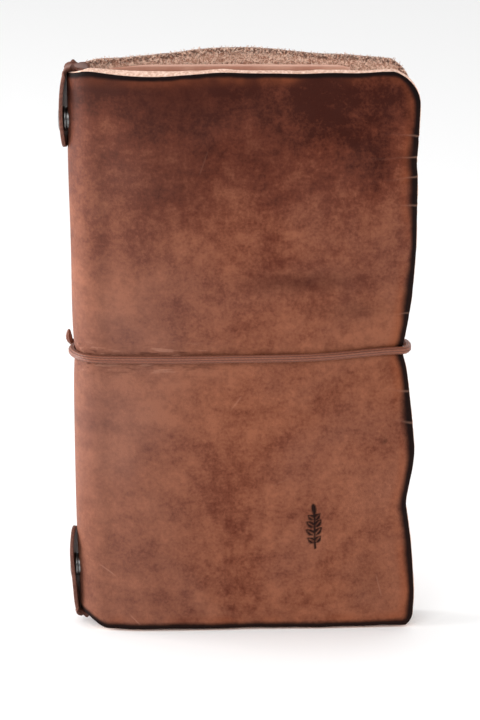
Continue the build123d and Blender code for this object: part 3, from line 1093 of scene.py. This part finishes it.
def stitchPlan():
    # bars of thread along a seam, each leaning a little
    plan = Plan("stitchRow", {"Pitch": 0.005, "Length": 0.0034, "Thickness": 0.0007, "Seed": 3})
    curve = plan.node("GeometryNodeMeshToCurve", {}, {"Mesh": plan.given["Geometry"]})
    points = plan.node("GeometryNodeCurveToPoints", {"mode": "LENGTH"},
                       {"Curve": curve, "Length": plan.given["Pitch"]})
    spin = points.node.outputs["Rotation"]
    lean = plan.node("FunctionNodeRandomValue", {"data_type": "FLOAT_VECTOR"},
                     {0: (0.0, 0.10, -0.04), 1: (0.05, 0.16, 0.04)})
    plan.tree.links.new(plan.given["Seed"], lean.node.inputs["Seed"])
    spin = plan.node("FunctionNodeRotateRotation", {"rotation_space": "LOCAL"},
                     {"Rotation": spin, "Rotate By": lean})
    bar = plan.node("GeometryNodeMeshUVSphere", {}, {"Segments": 8, "Rings": 6, "Radius": 0.5})
    size = plan.node("ShaderNodeCombineXYZ", {}, {"X": plan.given["Thickness"], "Y": plan.given["Thickness"],
                                                  "Z": plan.given["Length"]})
    row = plan.node("GeometryNodeInstanceOnPoints", {},
                    {"Points": points, "Instance": bar, "Rotation": spin, "Scale": size})
    real = plan.node("GeometryNodeRealizeInstances", {}, {"Geometry": row})
    soft = plan.node("GeometryNodeSetShadeSmooth", {}, {"Geometry": real})
    done = plan.node("GeometryNodeSetMaterial", {}, {"Geometry": soft, "Material": looks["thread"]})
    plan.tree.links.new(done, plan.end.inputs[0])
    return plan


def pocketStitches():
    # down the spine side, along the foot and up the fore side, inside and on the back cover's outer face
    sizes = pocketSizes
    left, right = sizes["start"] + sizes["seam"], sizes["end"] - sizes["seam"]
    foot, head = sizes["low"] + sizes["seam"], sizes["high"] - 10
    route = [(left, z) for z in np.arange(head, foot, -2.0)]
    route += [(x, foot) for x in np.arange(left, right, 2.0)]
    route += [(right, z) for z in np.arange(foot, head, 2.0)]
    x, z = np.array(route).T
    inside = np.stack([x, pocketFace(x, z) - 0.12, z], -1)
    outside = np.stack([x, halfDepth(1, x, z) + 0.1, z], -1)
    mesh = bpy.data.meshes.new("seam")
    links = [(i, i + 1) for i in range(len(x) - 1)]
    links += [(i + len(x), i + 1 + len(x)) for i in range(len(x) - 1)]
    mesh.from_pydata(toFrame(np.concatenate([inside, outside])).tolist(), links, [])
    base = bpy.data.objects.new("seam", mesh)
    bpy.context.scene.collection.objects.link(base)
    piece = stitchPlan().grow("pocketStitches", base,
                              {"Pitch": 0.005, "Length": 0.0036, "Thickness": 0.00075, "Seed": 3})
    bpy.data.objects.remove(base)
    return piece


fuzzSizes = {"length": 0.00085, "density": 230000.0}


def fuzzPlan():
    # short bent hairs scattered over a face, some pale and some dark
    plan = Plan("fleshFuzz", {"Density": 200000.0, "Length": 0.0012, "Seed": 1})
    near = plan.node("GeometryNodeInputNamedAttribute", {"data_type": "FLOAT"}, {"Name": "fuzz"})
    thick = plan.maths("MULTIPLY", near, plan.given["Density"])
    spots = plan.node("GeometryNodeDistributePointsOnFaces", {},
                      {"Mesh": plan.given["Geometry"], "Density": thick, "Seed": plan.given["Seed"]})
    hair = plan.node("GeometryNodeCurveQuadraticBezier", {},
                     {"Resolution": 3, "Start": (0, 0, -0.08), "Middle": (0, 0, 0.45), "End": (0.42, 0, 0.8)})
    ring = plan.node("GeometryNodeCurvePrimitiveCircle", {}, {"Resolution": 3, "Radius": 0.085})
    along = plan.node("GeometryNodeSplineParameter", {}, {})
    taper = plan.maths("SUBTRACT", 1.0, plan.maths("MULTIPLY", along, 0.7))
    hair = plan.node("GeometryNodeSetCurveRadius", {}, {"Curve": hair, "Radius": taper})
    hair = plan.node("GeometryNodeCurveToMesh", {}, {"Curve": hair, "Profile Curve": ring, "Fill Caps": True})
    lean = plan.chanceVector((-1.15, -1.15, 0.0), (1.15, 1.15, math.tau), 5)
    spin = plan.node("FunctionNodeRotateRotation", {"rotation_space": "LOCAL"},
                     {"Rotation": spots.node.outputs["Rotation"], "Rotate By": lean})
    size = plan.maths("MULTIPLY", plan.chance(0.5, 1.35, 8), plan.given["Length"])
    hairs = plan.node("GeometryNodeInstanceOnPoints", {},
                      {"Points": spots, "Instance": hair, "Rotation": spin, "Scale": size})
    hairs = plan.node("GeometryNodeRealizeInstances", {}, {"Geometry": hairs})
    done = plan.node("GeometryNodeSetMaterial", {}, {"Geometry": hairs, "Material": looks["fibre"]})
    plan.tree.links.new(done, plan.end.inputs[0])
    return plan


def fleshFuzz(side, hide, name):
    # fibres stand on the raw inner face, thickest along the head edge, and on the cut edge there
    mesh = hide.data
    places = np.array([v.co for v in mesh.vertices]) / mm
    z = places[:, 2]
    faces = []
    for polygon in mesh.polygons:
        headEdge = side > 0 and polygon.material_index == 1 and polygon.center.z / mm > 205
        if polygon.material_index == 2 or headEdge:
            faces.append(tuple(polygon.vertices))
    base = bpy.data.meshes.new("fuzzBase")
    base.from_pydata((places * mm).tolist(), [], faces)
    layer = base.attributes.new("fuzz", "FLOAT", "POINT")
    crowd = 0.5 if side < 0 else 3.2
    layer.data.foreach_set("value", (0.8 + crowd * smooth((z - hideTop + 9) / 7)).astype(np.float32))
    holder = bpy.data.objects.new("fuzzBase", base)
    bpy.context.scene.collection.objects.link(holder)
    values = {"Density": fuzzSizes["density"], "Length": fuzzSizes["length"], "Seed": 11 + side}
    piece = fuzzPlan().grow(name, holder, values)
    bpy.data.objects.remove(holder)
    return piece


threads = pocketStitches()
fuzzFront = fleshFuzz(-1, hideFront, "fleshFuzzFront")
fuzzBack = fleshFuzz(1, hideBack, "fleshFuzzBack")
print("stitches and fibres made", len(threads.data.polygons), len(fuzzFront.data.polygons),
      len(fuzzBack.data.polygons))


# camera, floor and light

def addCamera():
    data = bpy.data.cameras.new("camera")
    data.lens = 216
    data.sensor_fit = "VERTICAL"
    data.sensor_height = 36
    camera = bpy.data.objects.new("camera", data)
    bpy.context.scene.collection.objects.link(camera)
    bpy.context.scene.camera = camera
    target = Vector((0.0005, -0.004, 0.1059))
    tilt = math.radians(17.6)
    away = 1.64
    camera.location = target + Vector((0, -math.cos(tilt), math.sin(tilt))) * away
    look = (target - camera.location).to_track_quat("-Z", "Y").to_euler()
    camera.rotation_euler = look
    camera.rotation_euler.rotate_axis("Z", math.radians(-0.45))
    data.clip_end = 50


def addLight(name, spot, aim, size, power, colour=(1, 1, 1)):
    data = bpy.data.lights.new(name, "AREA")
    data.shape = "RECTANGLE"
    data.size, data.size_y = size
    data.energy = power
    data.color = colour
    light = bpy.data.objects.new(name, data)
    light.location = spot
    light.rotation_euler = (Vector(aim) - Vector(spot)).to_track_quat("-Z", "Y").to_euler()
    bpy.context.scene.collection.objects.link(light)


def addStudio():
    mesh = bpy.data.meshes.new("studioFloor")
    reach = 6.0
    mesh.from_pydata([(-reach, -reach, 0), (reach, -reach, 0), (reach, reach, 0), (-reach, reach, 0)], [],
                     [(0, 1, 2, 3)])
    mesh.materials.append(floorLook())
    floor = bpy.data.objects.new("studioFloor", mesh)
    floor.location.z = -0.0004
    bpy.context.scene.collection.objects.link(floor)
    world = bpy.data.worlds.new("studio")
    bpy.context.scene.world = world
    world.use_nodes = True
    tree = world.node_tree
    place = tree.nodes.new("ShaderNodeTexCoord")
    split = tree.nodes.new("ShaderNodeSeparateXYZ")
    shade = tree.nodes.new("ShaderNodeMapRange")
    path = tree.nodes.new("ShaderNodeLightPath")
    pick = tree.nodes.new("ShaderNodeMath")
    pick.operation = "MAXIMUM"
    tree.links.new(place.outputs["Generated"], split.inputs[0])
    tree.links.new(split.outputs["Y"], shade.inputs["Value"])
    # the studio is darker in front of the cover than behind it
    for key, value in (("From Min", -0.7), ("From Max", 0.3), ("To Min", 0.30), ("To Max", 1.0)):
        shade.inputs[key].default_value = value
    tree.links.new(shade.outputs[0], pick.inputs[0])
    tree.links.new(path.outputs["Is Camera Ray"], pick.inputs[1])
    tree.links.new(pick.outputs[0], tree.nodes["Background"].inputs[1])
    tree.nodes["Background"].inputs[0].default_value = (1, 1, 1, 1)
    middle = (0, 0, 0.1)
    addLight("keySoftbox", (-0.35, -1.2, 1.15), middle, (1.3, 0.9), 10.5)
    addLight("rimSoftbox", (-1.1, 0.02, 0.12), middle, (0.9, 1.0), 27)
    addLight("fillSoftbox", (1.1, -0.7, 0.5), middle, (0.8, 1.0), 5.5)
    bpy.context.scene.view_settings.view_transform = "Standard"


addCamera()
addStudio()

# bake each piece's placement, fix the knot to the spine and hide the CAD parts these pieces replace
followCover(hideFront)
followCover(hideBack)
followCover(fuzzFront)
followCover(fuzzBack)
followCover(pocketPiece)
followCover(threads)
followCover(elasticFront)
followCover(elasticBack)
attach(knot, "spine")
middle = foldX + 0.5 * mm
bendStrap(strapTop)
bendStrap(strapBottom)
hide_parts("front_cover", "spine_leather")
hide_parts("back_cover")
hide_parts("inner_pocket")
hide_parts("pocket_thread")
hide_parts("elastic_front_run", "elastic_spine_run")
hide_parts("elastic_back_run")
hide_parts("elastic_knot")
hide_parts("strap_top_tab", "strap_inner_run")
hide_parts("strap_bottom_tab")
for piece, line, others in ((elasticFront, frontLine, [knot]), (elasticBack, backLine, [])):
    places = toFrame(line).tolist()
